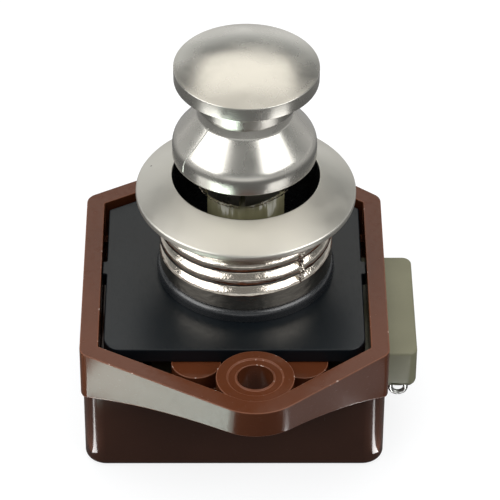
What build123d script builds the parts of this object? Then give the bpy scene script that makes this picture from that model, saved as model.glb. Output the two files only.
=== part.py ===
"""Push button cabinet lock: a hexagonal two-shell housing with a screw ear at each end,
a black cover plate, a threaded barrel with a conical rosette, a push-to-lock knob and a
sliding bolt. Millimetres. The origin is where the knob's axis crosses the mounting face,
+Z leads out through the door and +X is the way the bolt is thrown.
"""

import os
from math import atan2, degrees, hypot, pi, sqrt

from build123d import *

os.makedirs("parts", exist_ok=True)

# Motion of the whole lock
knob_travel = 15.8
bolt_throw = 5.0
pawl_swing_width = 1.6

# Clearances shared by mating pieces
running_gap = 0.05
seat_gap = 0.05
free_gap = 0.15
wide_gap = 0.35
overrun = 1.0

# Housing outline, a hexagon that is offset from the knob's axis
case_width = 42.0
side_length = 34.2
ear_reach = 13.66
axis_from_centre_x = 1.57
axis_from_centre_y = 2.71
apex_from_centre_x = 3.47
apex_radius = 7.7
corner_radius = 2.0
case_wall = 2.5

# Housing heights, all measured down from the mounting face
case_height = 20.9
frame_depth = 7.8
ear_tip_depth = 4.15
ear_arc_run = 12.7
ear_floor = 1.6
case_floor = 1.3

# Ear bosses and the pads that carry the cover plate
screw_hole_radius = 2.45
boss_radius = 5.3
boss_drop = 0.3
boss_ring_radius = 3.75
boss_ring_depth = 0.2
pad_radius = 3.4
pad_spacing = 14.6
pad_middle_x = 0.5
pad_inset = 1.9
back_pad_shift = 1.7

# Lower shell
box_inset = 0.25
box_corner_radius = 3.0
box_inner_radius = 1.0
box_edge_radius = 0.8
tongue_width = 0.9
tongue_height = 1.2
rib_width = 1.4

# Cover plate
plate_depth = 0.9
plate_thickness = 2.2
plate_gap = 0.65
plate_corner_radius = 2.6
plate_front_inset = 1.75
tab_length = 2.7
tab_middle_y = -0.45

# Guide sleeve
sleeve_bore = 10.14
sleeve_wall = 0.56
sleeve_top = 14.95
collar_radius = 12.35
collar_top = 0.95
collar_edge_radius = 1.0
neck_radius = 10.95
neck_length = 1.1
guide_floor_top = -1.7
bush_wall = 1.85
bush_bottom = -5.65
clip_thickness = 0.8
clip_seat_depth = 0.7
clip_width = 1.65
clip_opening = 60.0

# Threaded barrel
thread_radius = 12.0
thread_depth = 0.55
thread_pitch = 2.36
thread_crest = 1.05
thread_upper_flank = 0.6
thread_lower_flank = 0.15
band_top = 3.63
thread_crests = 4

# Rosette
rosette_radius = 15.13
rosette_bottom = 12.1
rosette_edge = 0.85
rosette_edge_radius = 0.25
rosette_top = 15.43
rosette_lip = 0.42
rosette_shell = 0.9

# Knob, from its skirt's bottom upwards
skirt_bottom = 19.15
skirt_height = 1.7
skirt_roll_height = 1.7
cone_height = 3.4
waist_rise = 0.75
waist_to_ring = 0.75
ring_foot_height = 0.4
ring_height = 3.05
ring_to_disc = 0.35
disc_roll_height = 0.3
disc_height = 1.8
disc_shoulder_height = 0.2
dome_rise = 1.85
ceiling_depth = 3.85
socket_height = 1.4
skirt_inner_height = 0.85
skirt_edge = 0.25

# Knob, radii and what they step in by
disc_radius = 9.8
dome_inset = 0.2
disc_under_inset = 0.46
ring_radius = 6.88
ring_foot_inset = 0.4
waist_inset = 0.66
cone_top_inset = 0.38
skirt_radius = 9.86
cone_foot_inset = 0.75
skirt_wall = 1.3

# Stem inside the knob's skirt
stem_radius = 6.6
stem_length = 8.5
stem_slot_width = 0.75
stem_slots = 7
stem_crown = 2.5
stem_slot_angle = -94.5
stem_chamfer = 0.35

# Plunger
plunger_radius = 5.3
plunger_bottom = -3.6
spring_bore = 3.1
spring_seat = 12.0
head_bore = 2.4
web_thickness = 3.8
flat_distance = 4.4
flat_top = 14.1
groove_depth = 0.8
groove_margin = 0.15
heart_left = 0.95
heart_width = 0.95
heart_bottom = 9.2
heart_height = 2.7
heart_pocket_right = 2.5
heart_pocket_bottom = 7.8
heart_pocket_top = 13.7

# Cam arm on the plunger's front
arm_front = -8.2
arm_back = -4.6
arm_half_width = 5.35
arm_tip_width = 5.65
arm_top = 10.2

# Knob screw, its washer and the insert
screw_radius = 1.5
screw_grip = 4.5
screw_head_radius = 2.1
screw_head_height = 1.6
screw_socket_radius = 0.95
screw_socket_depth = 0.9
washer_radius = 2.3
washer_thickness = 0.3
insert_radius = 2.3
insert_length = 5.5

# Return spring and the rod inside it
wire_radius = 0.35
coil_outer_radius = 2.9
coil_turns = 14
rod_radius = 1.7
rod_top = -4.9
rod_flange_radius = 2.95
rod_flange_thickness = 0.7
rod_recess = 0.3
rod_chamfer = 0.3

# Bolt
bolt_top = -5.8
bolt_thickness = 6.4
bolt_front = -13.3
bolt_back = 7.9
bolt_reach = 4.27
bolt_tip_radius = 1.3
bolt_lower_radius = 1.2
bolt_upper_edge = 0.3
bolt_shoulder_front = -14.1
bolt_tail_wall = 2.4
loop_wire_radius = 0.35
loop_bend_radius = 1.05
loop_from_tip = 2.5
loop_inset = 0.6
loop_leg = 1.5

# Pawl that rides in the plunger's groove
pawl_wire_radius = 0.45
pawl_from_wall = 2.69
pawl_tip_y = 3.75
pawl_tip_height = -2.7
pawl_pivot_height = -16.0
pawl_middle_x = -0.4
pawl_eye_radius = 1.4
pawl_eye_width = 1.4
pawl_pin_radius = 0.6
pawl_pin_head_radius = 1.1
pawl_pin_head = 0.5
pawl_pin_depth = 1.0
pawl_boss_radius = 1.9

# Leaf spring behind the pawl
leaf_thickness = 0.25
leaf_width = 2.6
leaf_foot_bottom = -12.5
leaf_foot_top = -9.5
leaf_touch_height = -6.6
leaf_end_height = -5.9
leaf_end_rise = 0.35
leaf_peg_radius = 0.7
leaf_peg_length = 0.7
leaf_peg_height = -11.0

# Places worked out from the sizes above
case_left = -case_width / 2 - axis_from_centre_x
case_right = case_left + case_width
case_front = -side_length / 2 - axis_from_centre_y
case_back = case_front + side_length
middle_x = (case_left + case_right) / 2
middle_y = (case_front + case_back) / 2
apex_x = middle_x + apex_from_centre_x
inner_left = case_left + case_wall
inner_right = case_right - case_wall
inner_back = case_back - case_wall
floor_top = -case_height + case_floor
plate_bottom = -plate_depth - plate_thickness
bolt_bottom = bolt_top - bolt_thickness
neck_bottom = plate_bottom - neck_length
thread_root = thread_radius - thread_depth
barrel_bore = sleeve_bore + sleeve_wall + running_gap
barrel_bottom = collar_top + seat_gap
rosette_slope = (rosette_top - rosette_bottom - rosette_edge) / (rosette_radius - sleeve_bore)
rosette_bore = thread_radius + running_gap
ceiling_foot = rosette_top - rosette_slope * (rosette_bore - sleeve_bore) - rosette_shell
barrel_top = ceiling_foot - seat_gap
bolt_tip = case_right + bolt_reach
loop_middle_x = bolt_tip - loop_from_tip
skirt_shoulder = skirt_bottom + skirt_height
cone_foot = skirt_shoulder + skirt_roll_height
cone_top = cone_foot + cone_height
waist_level = cone_top + waist_rise
ring_foot = waist_level + waist_to_ring
ring_bottom = ring_foot + ring_foot_height
ring_top = ring_bottom + ring_height
disc_under = ring_top + ring_to_disc
disc_lower = disc_under + disc_roll_height
disc_shoulder = disc_lower + disc_height
dome_edge = disc_shoulder + disc_shoulder_height
dome_top = dome_edge + dome_rise
dome_edge_radius = disc_radius - dome_inset
disc_under_radius = disc_radius - disc_under_inset
ring_foot_radius = ring_radius - ring_foot_inset
neck_waist = ring_radius - waist_inset
cone_top_radius = ring_radius - cone_top_inset
cone_foot_radius = skirt_radius - cone_foot_inset
skirt_inner = skirt_radius - skirt_wall
knob_ceiling = skirt_bottom + ceiling_depth
knob_socket_foot = knob_ceiling - socket_height
stem_bottom = knob_ceiling - stem_length
stem_slot_top = knob_ceiling - stem_crown
web_bottom = knob_ceiling - web_thickness
screw_top = knob_ceiling + screw_grip
pawl_y = inner_back - pawl_from_wall
pivot_tip_left = pawl_middle_x - pawl_swing_width / 2
pivot_tip_right = pawl_middle_x + pawl_swing_width / 2


def boss_centre(side):
    """Centre of an ear's rounded tip, side -1 at the front and +1 at the back."""
    apex = Vector(apex_x, middle_y + side * (side_length / 2 + ear_reach))
    to_left = (Vector(case_left, middle_y + side * side_length / 2) - apex).normalized()
    to_right = (Vector(case_right, middle_y + side * side_length / 2) - apex).normalized()
    inward = (to_left + to_right).normalized()
    half_angle_sine = abs(to_left.cross(inward).Z)
    centre = apex + inward * (apex_radius / half_angle_sine)
    return (centre.X, centre.Y)


boss_centres = [boss_centre(-1), boss_centre(1)]
front_pad_y = case_front + pad_inset
back_pad_y = case_back - pad_inset + back_pad_shift
pad_centres = [
    (pad_middle_x + across * pad_spacing / 2, pad_y)
    for pad_y in (front_pad_y, back_pad_y)
    for across in (-1, 1)
]

# Plain hexagon, and the outlines of the housing and of its cavity made from it
with BuildSketch() as hexagon:
    with BuildLine():
        Polyline(
            (case_left, case_back),
            (case_left, case_front),
            (apex_x, case_front - ear_reach),
            (case_right, case_front),
            (case_right, case_back),
            (apex_x, case_back + ear_reach),
            close=True,
        )
    make_face()

with BuildSketch() as case_outline:
    add(hexagon.sketch)
    ends = case_outline.vertices().sort_by(Axis.Y)
    fillet([ends[0], ends[-1]], radius=apex_radius)
    sides = case_outline.vertices().group_by(Axis.X)
    fillet([*sides[0], *sides[-1]], radius=corner_radius)

with BuildSketch() as cavity_outline:
    add(hexagon.sketch)
    offset(amount=-case_wall, kind=Kind.INTERSECTION)
    ends = cavity_outline.vertices().sort_by(Axis.Y)
    fillet([ends[0], ends[-1]], radius=apex_radius - case_wall)


def ear_section(side, lift):
    """Points of an ear's curved underside, from the housing's side outwards, raised by lift."""
    root = middle_y + side * side_length / 2
    turn = root + side * ear_arc_run
    tip = root + side * (ear_reach + overrun)
    return (root, -frame_depth + lift), (turn, -ear_tip_depth + lift), (tip, -ear_tip_depth + lift)


# Solid under each ear's curved underside, cut from the frame
with BuildPart() as under_ears:
    for side in (-1, 1):
        root, turn, tip = ear_section(side, 0)
        below = -frame_depth - overrun
        with BuildSketch(Plane.YZ):
            with BuildLine():
                TangentArc(turn, root, tangent=(-side, 0))
                Polyline(root, (root[0], below), (tip[0], below), tip, turn)
            make_face()
        extrude(amount=case_width, both=True)

# Floor of each ear, a shell that follows the curved underside
with BuildPart() as ear_floors:
    for side in (-1, 1):
        root, turn, tip = ear_section(side, 0)
        root_up, turn_up, tip_up = ear_section(side, ear_floor)
        ledge = root[0] - side * case_wall
        with BuildSketch(Plane.YZ):
            with BuildLine():
                TangentArc(turn, root, tangent=(-side, 0))
                Polyline(root, (ledge, root[1]), (ledge, root_up[1]), root_up)
                TangentArc(turn_up, root_up, tangent=(-side, 0))
                Polyline(turn_up, tip_up, tip, turn)
            make_face()
        extrude(amount=case_width, both=True)
    with BuildSketch():
        add(case_outline.sketch)
    extrude(amount=-frame_depth, mode=Mode.INTERSECT)

# Upper shell: the rim, the two screw ears and the pads under the cover plate
with BuildPart() as case_frame:
    with BuildSketch():
        add(case_outline.sketch)
    extrude(amount=-frame_depth)
    with BuildSketch():
        add(cavity_outline.sketch)
    extrude(amount=-frame_depth, mode=Mode.SUBTRACT)
    add(ear_floors.part)
    with BuildSketch(Plane.XY.offset(-boss_drop)):
        with Locations(*boss_centres):
            Circle(boss_radius)
    extrude(amount=boss_drop - frame_depth)
    with BuildSketch(Plane.XY.offset(plate_bottom - seat_gap)):
        with Locations(*pad_centres):
            Circle(pad_radius)
    extrude(amount=-frame_depth - plate_bottom + seat_gap)
    add(under_ears.part, mode=Mode.SUBTRACT)
    with BuildSketch(Plane.XY.offset(-boss_drop)):
        with Locations(*boss_centres):
            Circle(screw_hole_radius)
    extrude(amount=-frame_depth, mode=Mode.SUBTRACT)
    with BuildSketch(Plane.XY.offset(-boss_drop)):
        with Locations(*boss_centres):
            Circle(boss_ring_radius)
            Circle(screw_hole_radius + boss_ring_depth, mode=Mode.SUBTRACT)
    extrude(amount=-boss_ring_depth, mode=Mode.SUBTRACT)
    with BuildSketch(Plane.YZ.offset(inner_right - overrun)):
        with BuildLine():
            Polyline(
                (bolt_front - free_gap, -frame_depth - overrun),
                (bolt_front - free_gap, bolt_top + free_gap),
                (bolt_back + free_gap, bolt_top + free_gap),
                (bolt_back + free_gap, -frame_depth - overrun),
                close=True,
            )
        make_face()
    extrude(amount=case_wall + 2 * overrun, mode=Mode.SUBTRACT)
    case_frame.part.label = "case_frame"
export_step(case_frame.part, "parts/case_frame.step")

# Lower shell: the box under the frame, with the ribs and bosses of the mechanism
with BuildPart() as case_box:
    with BuildSketch(Plane.XY.offset(-frame_depth)):
        with Locations((middle_x, middle_y)):
            RectangleRounded(case_width - 2 * box_inset, side_length - 2 * box_inset, box_corner_radius)
    extrude(amount=frame_depth - case_height)
    fillet(case_box.faces().sort_by(Axis.Z)[0].edges(), radius=box_edge_radius)
    with BuildSketch(Plane.XY.offset(floor_top)):
        with Locations((middle_x, middle_y)):
            RectangleRounded(case_width - 2 * case_wall, side_length - 2 * case_wall, box_inner_radius)
    extrude(amount=-frame_depth - floor_top, mode=Mode.SUBTRACT)
    # Tongues that rise inside the frame's side walls, from roots on the box's own walls
    tongue_length = side_length - 2 * case_wall - 2 * box_inner_radius
    tongue_root = tongue_width + seat_gap + overrun
    with BuildSketch(Plane.XY.offset(-frame_depth - case_wall)):
        for edge_x, way in ((inner_left, 1), (inner_right, -1)):
            with Locations((edge_x + way * (tongue_root / 2 - overrun), middle_y)):
                Rectangle(tongue_root, tongue_length)
    extrude(amount=case_wall)
    with BuildSketch(Plane.XY.offset(-frame_depth)):
        for edge_x, way in ((inner_left, 1), (inner_right, -1)):
            with Locations((edge_x + way * (seat_gap + tongue_width / 2), middle_y)):
                Rectangle(tongue_width, tongue_length)
    extrude(amount=tongue_height)
    # Ribs that the bolt slides on
    with BuildSketch(Plane.XY.offset(floor_top)):
        for rib_y in (bolt_front + rib_width, bolt_back - rib_width):
            with Locations((middle_x, rib_y)):
                Rectangle(case_width - 2 * case_wall, rib_width)
    extrude(amount=bolt_bottom - running_gap - floor_top)
    # Boss of the pawl's pin and peg of the leaf spring, on the back wall
    with BuildSketch(Plane.XZ.offset(-inner_back)):
        with Locations((pawl_middle_x, pawl_pivot_height)):
            Circle(pawl_boss_radius)
    extrude(amount=inner_back - pawl_y - pawl_eye_width / 2 - running_gap)
    with BuildSketch(Plane.XZ.offset(-inner_back)):
        with Locations((pawl_middle_x, leaf_peg_height)):
            Circle(leaf_peg_radius)
    extrude(amount=leaf_peg_length)
    with BuildSketch(Plane.XZ.offset(-inner_back - pawl_pin_depth)):
        with Locations((pawl_middle_x, pawl_pivot_height)):
            Circle(pawl_pin_radius)
    extrude(amount=case_wall + pawl_boss_radius, mode=Mode.SUBTRACT)
    # Seat of the spring rod and the window for the bolt
    with BuildSketch(Plane.XY.offset(floor_top)):
        Circle(rod_flange_radius + running_gap)
    extrude(amount=-rod_recess, mode=Mode.SUBTRACT)
    with BuildSketch(Plane.YZ.offset(inner_right - 2 * overrun)):
        with BuildLine():
            Polyline(
                (bolt_front - free_gap, bolt_bottom - free_gap),
                (bolt_front - free_gap, overrun - frame_depth + tongue_height),
                (bolt_back + free_gap, overrun - frame_depth + tongue_height),
                (bolt_back + free_gap, bolt_bottom - free_gap),
                close=True,
            )
        make_face()
    extrude(amount=case_wall + 3 * overrun, mode=Mode.SUBTRACT)
    case_box.part.label = "case_box"
export_step(case_box.part, "parts/case_box.step")

# Cover plate, cut square at the front and notched round the back screw boss
plate_left = inner_left + plate_gap
plate_right = inner_right - plate_gap
plate_front = case_front + plate_front_inset
with BuildPart() as cover_plate:
    with BuildSketch(Plane.XY.offset(-plate_depth)) as plate_outline:
        add(hexagon.sketch)
        offset(amount=-case_wall - plate_gap, kind=Kind.INTERSECTION)
        cut_depth = ear_reach + side_length
        with Locations((middle_x, middle_y)):
            Rectangle(case_width, cut_depth, align=(Align.CENTER, Align.MAX), mode=Mode.SUBTRACT)
        with Locations((middle_x, boss_centres[1][1])):
            Rectangle(case_width, cut_depth, align=(Align.CENTER, Align.MIN), mode=Mode.SUBTRACT)
        with Locations((middle_x, middle_y)):
            Rectangle(plate_right - plate_left, middle_y - plate_front, align=(Align.CENTER, Align.MAX))
        with Locations(boss_centres[1]):
            Circle(boss_radius + wide_gap, mode=Mode.SUBTRACT)
        fillet(plate_outline.vertices().group_by(Axis.Y)[0], radius=plate_corner_radius)
        Circle(neck_radius + running_gap, mode=Mode.SUBTRACT)
    extrude(amount=-plate_thickness)
    # Snap tabs that reach the side walls
    tab_reach = plate_gap - seat_gap
    with BuildSketch(Plane.XY.offset(-plate_depth)):
        for edge_x, way in ((plate_left, -1), (plate_right, 1)):
            with Locations((edge_x + way * (tab_reach - overrun) / 2, tab_middle_y)):
                Rectangle(tab_reach + overrun, tab_length)
    extrude(amount=-plate_thickness)
    cover_plate.part.label = "cover_plate"
export_step(cover_plate.part, "parts/cover_plate.step")

# Guide sleeve: bore of the knob, collar on the plate and bush of the plunger
sleeve_outer = sleeve_bore + sleeve_wall
bush_radius = plunger_radius + running_gap + bush_wall
clip_seat_radius = neck_radius - clip_seat_depth
clip_top = plate_bottom - seat_gap
arm_slot_middle = (arm_front + arm_back) / 2
arm_slot_length = arm_back - arm_front + 2 * free_gap
with BuildPart() as guide_sleeve:
    with BuildSketch(Plane.XZ):
        with BuildLine():
            Polyline(
                (plunger_radius + running_gap, bush_bottom),
                (bush_radius, bush_bottom),
                (bush_radius, plate_bottom),
                (sleeve_bore, plate_bottom),
                (sleeve_bore, neck_bottom),
                (neck_radius, neck_bottom),
                (neck_radius, -plate_depth),
                (collar_radius, -plate_depth),
                (collar_radius, collar_top - collar_edge_radius),
            )
            RadiusArc(
                (collar_radius, collar_top - collar_edge_radius),
                (collar_radius - collar_edge_radius, collar_top),
                -collar_edge_radius,
            )
            Polyline(
                (collar_radius - collar_edge_radius, collar_top),
                (sleeve_outer, collar_top),
                (sleeve_outer, sleeve_top),
                (sleeve_bore, sleeve_top),
                (sleeve_bore, guide_floor_top),
                (plunger_radius + running_gap, guide_floor_top),
                (plunger_radius + running_gap, bush_bottom),
            )
        make_face()
        with BuildLine():
            Polyline(
                (clip_seat_radius, clip_top),
                (neck_radius + overrun, clip_top),
                (neck_radius + overrun, clip_top - clip_thickness),
                (clip_seat_radius, clip_top - clip_thickness),
                close=True,
            )
        make_face(mode=Mode.SUBTRACT)
    revolve(axis=Axis.Z)
    # Slot of the plunger's cam arm
    with BuildSketch(Plane.XY.offset(bush_bottom)):
        with Locations((0, arm_slot_middle)):
            Rectangle(2 * (arm_half_width + free_gap), arm_slot_length)
    extrude(amount=guide_floor_top - bush_bottom, mode=Mode.SUBTRACT)
    # Channel of the pawl's tip, open below
    channel_top = pawl_tip_height + pawl_wire_radius + free_gap
    channel_width = pawl_swing_width + 2 * (pawl_wire_radius + wide_gap)
    channel_length = sleeve_bore - pawl_tip_y - free_gap
    with BuildSketch(Plane.XY.offset(bush_bottom)):
        with Locations((pawl_middle_x, pawl_tip_y)):
            Rectangle(channel_width, channel_length, align=(Align.CENTER, Align.MIN))
    extrude(amount=channel_top - bush_bottom, mode=Mode.SUBTRACT)
    guide_sleeve.part.label = "guide_sleeve"
export_step(guide_sleeve.part, "parts/guide_sleeve.step")

# Open ring in the sleeve's groove, which holds the sleeve to the cover plate
with BuildPart() as sleeve_clip:
    with BuildSketch(Plane.XY.offset(clip_top - seat_gap / 2)):
        Circle(clip_seat_radius + clip_width)
        Circle(clip_seat_radius + seat_gap, mode=Mode.SUBTRACT)
        with BuildLine():
            reach = 2 * (clip_seat_radius + clip_width)
            opening = PolarLine((0, 0), reach, 90 - clip_opening / 2)
            closing = PolarLine((0, 0), reach, 90 + clip_opening / 2)
            Line(opening @ 1, closing @ 1)
        make_face(mode=Mode.SUBTRACT)
    extrude(amount=seat_gap - clip_thickness)
    sleeve_clip.part.label = "sleeve_clip"
export_step(sleeve_clip.part, "parts/sleeve_clip.step")

# Threaded barrel, its coarse thread drawn as rings of the same pitch
with BuildPart() as threaded_barrel:
    rings = [
        (thread_radius, band_top),
        (thread_root, band_top + thread_upper_flank),
    ]
    for count in range(thread_crests):
        crest_top = band_top + (count + 1) * thread_pitch
        rings += [
            (thread_root, crest_top - thread_crest - thread_lower_flank),
            (thread_radius, crest_top - thread_crest),
            (thread_radius, crest_top),
            (thread_root, crest_top + thread_upper_flank),
        ]
    with BuildSketch(Plane.XZ):
        with BuildLine():
            Polyline(
                (barrel_bore, barrel_bottom),
                (thread_radius, barrel_bottom),
                *rings,
                (barrel_bore, rings[-1][1]),
                close=True,
            )
        make_face()
    revolve(axis=Axis.Z)
    split(bisect_by=Plane.XY.offset(barrel_top), keep=Keep.BOTTOM)
    threaded_barrel.part.label = "threaded_barrel"
export_step(threaded_barrel.part, "parts/threaded_barrel.step")

# Rosette, a conical ring nut
lip_bottom = rosette_top - rosette_lip
lip_foot_radius = sleeve_outer + running_gap
with BuildPart() as rosette:
    with BuildSketch(Plane.XZ) as rosette_profile:
        with BuildLine():
            Polyline(
                (rosette_bore, rosette_bottom),
                (rosette_radius, rosette_bottom),
                (rosette_radius, rosette_bottom + rosette_edge),
                (sleeve_bore, rosette_top),
                (sleeve_bore, lip_bottom),
                (lip_foot_radius, lip_bottom),
                (rosette_bore, ceiling_foot),
                close=True,
            )
        make_face()
        rim = rosette_profile.vertices().group_by(Axis.X)[-1]
        fillet(rim, radius=rosette_edge_radius)
    revolve(axis=Axis.Z)
    rosette.part.label = "rosette"
export_step(rosette.part, "parts/rosette.step")

# Knob: dome, thick disc, ring, waist, cone and a hollow skirt
insert_top = knob_ceiling + insert_length
dome_roll = ((1, -0.4), (0, -1))
under_roll = ((0, -1), (-1, -0.3))
cone_roll = ((1, -1.3), (0, -1))
with BuildPart() as knob:
    with BuildSketch(Plane.XZ):
        with BuildLine():
            TangentArc((0, dome_top), (dome_edge_radius, dome_edge), tangent=(1, 0))
            Spline((dome_edge_radius, dome_edge), (disc_radius, disc_shoulder), tangents=dome_roll)
            Line((disc_radius, disc_shoulder), (disc_radius, disc_lower))
            Spline((disc_radius, disc_lower), (disc_under_radius, disc_under), tangents=under_roll)
            Polyline(
                (disc_under_radius, disc_under),
                (ring_radius, ring_top),
                (ring_radius, ring_bottom),
                (ring_foot_radius, ring_foot),
            )
            ThreePointArc(
                (ring_foot_radius, ring_foot),
                (neck_waist, waist_level),
                (cone_top_radius, cone_top),
            )
            Line((cone_top_radius, cone_top), (cone_foot_radius, cone_foot))
            Spline((cone_foot_radius, cone_foot), (skirt_radius, skirt_shoulder), tangents=cone_roll)
            Polyline(
                (skirt_radius, skirt_shoulder),
                (skirt_radius, skirt_bottom + skirt_edge),
                (skirt_radius - skirt_edge, skirt_bottom),
                (skirt_inner, skirt_bottom),
                (skirt_inner, skirt_bottom + skirt_inner_height),
                (stem_radius + running_gap, knob_socket_foot),
                (stem_radius + running_gap, knob_ceiling),
                (insert_radius, knob_ceiling),
                (insert_radius, insert_top),
                (0, insert_top),
                (0, dome_top),
            )
        make_face()
    revolve(axis=Axis.Z)
    knob.part.label = "knob"
export_step(knob.part, "parts/knob.step")

# Threaded insert pressed into the knob
with BuildPart() as knob_insert:
    with BuildSketch(Plane.XY.offset(knob_ceiling)):
        Circle(insert_radius)
        Circle(screw_radius, mode=Mode.SUBTRACT)
    extrude(amount=insert_length)
    knob_insert.part.label = "knob_insert"
export_step(knob_insert.part, "parts/knob_insert.step")

# Split stem: a slotted collet between the knob and the plunger
with BuildPart() as knob_stem:
    with BuildSketch(Plane.XY.offset(stem_bottom)):
        Circle(stem_radius)
        Circle(plunger_radius + free_gap, mode=Mode.SUBTRACT)
    extrude(amount=knob_ceiling - stem_bottom)
    lower_edges = knob_stem.faces().sort_by(Axis.Z)[0].edges().sort_by(SortBy.RADIUS)
    chamfer(lower_edges[-1], length=stem_chamfer)
    with BuildSketch(Plane.XY.offset(stem_bottom)):
        with PolarLocations(stem_radius, stem_slots, start_angle=stem_slot_angle):
            Rectangle(stem_radius, stem_slot_width)
    extrude(amount=stem_slot_top - stem_bottom, mode=Mode.SUBTRACT)
    knob_stem.part.label = "knob_stem"
export_step(knob_stem.part, "parts/knob_stem.step")

# Plunger: a bored rod with a slanting cam arm in front and a heart groove at the back
with BuildPart() as plunger:
    with BuildSketch(Plane.XY.offset(plunger_bottom)):
        Circle(plunger_radius)
    extrude(amount=knob_ceiling - plunger_bottom)
    # Flat on the pawl's side
    with BuildSketch(Plane.XY.offset(plunger_bottom)):
        with Locations((0, flat_distance)):
            Rectangle(2 * plunger_radius, plunger_radius, align=(Align.CENTER, Align.MIN))
    extrude(amount=flat_top - plunger_bottom, mode=Mode.SUBTRACT)
    # Cam arm, a strip that leans towards the bolt from its tip to its top
    with BuildSketch(Plane.XZ.offset(-arm_back)):
        with BuildLine():
            Polyline(
                (-arm_half_width, plunger_bottom),
                (arm_tip_width - arm_half_width, plunger_bottom),
                (arm_half_width, arm_top),
                (arm_half_width - arm_tip_width, arm_top),
                close=True,
            )
        make_face()
    extrude(amount=arm_back - arm_front)
    # Bores of the spring, the screw's head and its shank
    with BuildSketch(Plane.XY.offset(plunger_bottom)):
        Circle(spring_bore)
    extrude(amount=spring_seat - plunger_bottom, mode=Mode.SUBTRACT)
    with BuildSketch(Plane.XY.offset(spring_seat)):
        Circle(head_bore)
    extrude(amount=web_bottom - spring_seat, mode=Mode.SUBTRACT)
    with BuildSketch(Plane.XY.offset(web_bottom)):
        Circle(screw_radius + free_gap)
    extrude(amount=knob_ceiling - web_bottom, mode=Mode.SUBTRACT)
    # Groove that the pawl's tip follows, with the heart it parks on
    groove_half = pawl_wire_radius + groove_margin
    groove_lean = degrees(atan2(knob_travel, pawl_swing_width))
    groove_length = hypot(knob_travel, pawl_swing_width)
    with BuildSketch(Plane.XZ.offset(-flat_distance)):
        groove_middle = (pawl_middle_x, pawl_tip_height + knob_travel / 2, 0)
        with Locations(Location(groove_middle, (0, 0, groove_lean))):
            SlotCenterToCenter(groove_length, 2 * groove_half)
        with BuildLine():
            Polyline(
                (pawl_middle_x, heart_pocket_bottom),
                (heart_pocket_right, heart_pocket_bottom + heart_width),
                (heart_pocket_right, heart_pocket_top),
                (pivot_tip_right, heart_pocket_top),
                close=True,
            )
        make_face()
        with BuildLine():
            Polyline(
                (heart_left, heart_bottom),
                (heart_left + heart_width, heart_bottom + heart_width),
                (heart_left + heart_width, heart_bottom + heart_height),
                (heart_left + heart_width / 2, heart_bottom + heart_height - heart_width),
                (heart_left, heart_bottom + heart_height),
                close=True,
            )
        make_face(mode=Mode.SUBTRACT)
    extrude(amount=groove_depth, mode=Mode.SUBTRACT)
    plunger.part.label = "plunger"
export_step(plunger.part, "parts/plunger.step")

# Screw that draws the knob down on the plunger, and its spring washer
head_top = web_bottom - washer_thickness - 2 * seat_gap
with BuildPart() as knob_screw:
    with BuildSketch(Plane.XY.offset(head_top - screw_head_height)):
        Circle(screw_head_radius)
    extrude(amount=screw_head_height)
    with BuildSketch(Plane.XY.offset(head_top)):
        Circle(screw_radius)
    extrude(amount=screw_top - head_top)
    with BuildSketch(Plane.XY.offset(head_top - screw_head_height)):
        RegularPolygon(screw_socket_radius, 6)
    extrude(amount=screw_socket_depth, mode=Mode.SUBTRACT)
    knob_screw.part.label = "knob_screw"
export_step(knob_screw.part, "parts/knob_screw.step")

with BuildPart() as screw_washer:
    with BuildSketch(Plane.XY.offset(head_top + seat_gap)):
        Circle(washer_radius)
        Circle(screw_radius + free_gap, mode=Mode.SUBTRACT)
    extrude(amount=washer_thickness)
    screw_washer.part.label = "screw_washer"
export_step(screw_washer.part, "parts/screw_washer.step")

# Rod that keeps the spring straight, standing on its flange
flange_bottom = floor_top - rod_recess
with BuildPart() as spring_rod:
    with BuildSketch(Plane.XY.offset(flange_bottom)):
        Circle(rod_flange_radius)
    extrude(amount=rod_flange_thickness)
    with BuildSketch(Plane.XY.offset(flange_bottom)):
        Circle(rod_radius)
    extrude(amount=rod_top - flange_bottom)
    chamfer(spring_rod.faces().sort_by(Axis.Z)[-1].edges(), length=rod_chamfer)
    spring_rod.part.label = "spring_rod"
export_step(spring_rod.part, "parts/spring_rod.step")

# Return spring, one wire wound on biarcs of a quarter turn
coil_radius = coil_outer_radius - wire_radius
coil_foot = flange_bottom + rod_flange_thickness + wire_radius + seat_gap
coil_head = spring_seat - wire_radius - seat_gap
coil_pitch = (coil_head - coil_foot) / coil_turns
quarters = 4 * coil_turns


def coil_point(quarter):
    """Point of the wire's centre line after a number of quarter turns."""
    spoke = Vector(coil_radius, 0, 0).rotate(Axis.Z, 90 * quarter)
    return spoke + Vector(0, 0, coil_foot + coil_pitch * quarter / 4)


def coil_tangent(quarter):
    """Direction of the wire after a number of quarter turns."""
    along = Vector(0, 2 * pi * coil_radius, coil_pitch).rotate(Axis.Z, 90 * quarter)
    return along.normalized()


def biarc_joint(start, leave, finish, arrive):
    """Point where the two tangent arcs between two points meet, with equal tangent lengths."""
    chord = finish - start
    turn = leave + arrive
    spread = 2 * (1 - leave.dot(arrive))
    reach = (sqrt(chord.dot(turn) ** 2 + spread * chord.dot(chord)) - chord.dot(turn)) / spread
    return (start + finish + (leave - arrive) * reach) * (1 / 2)


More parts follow.
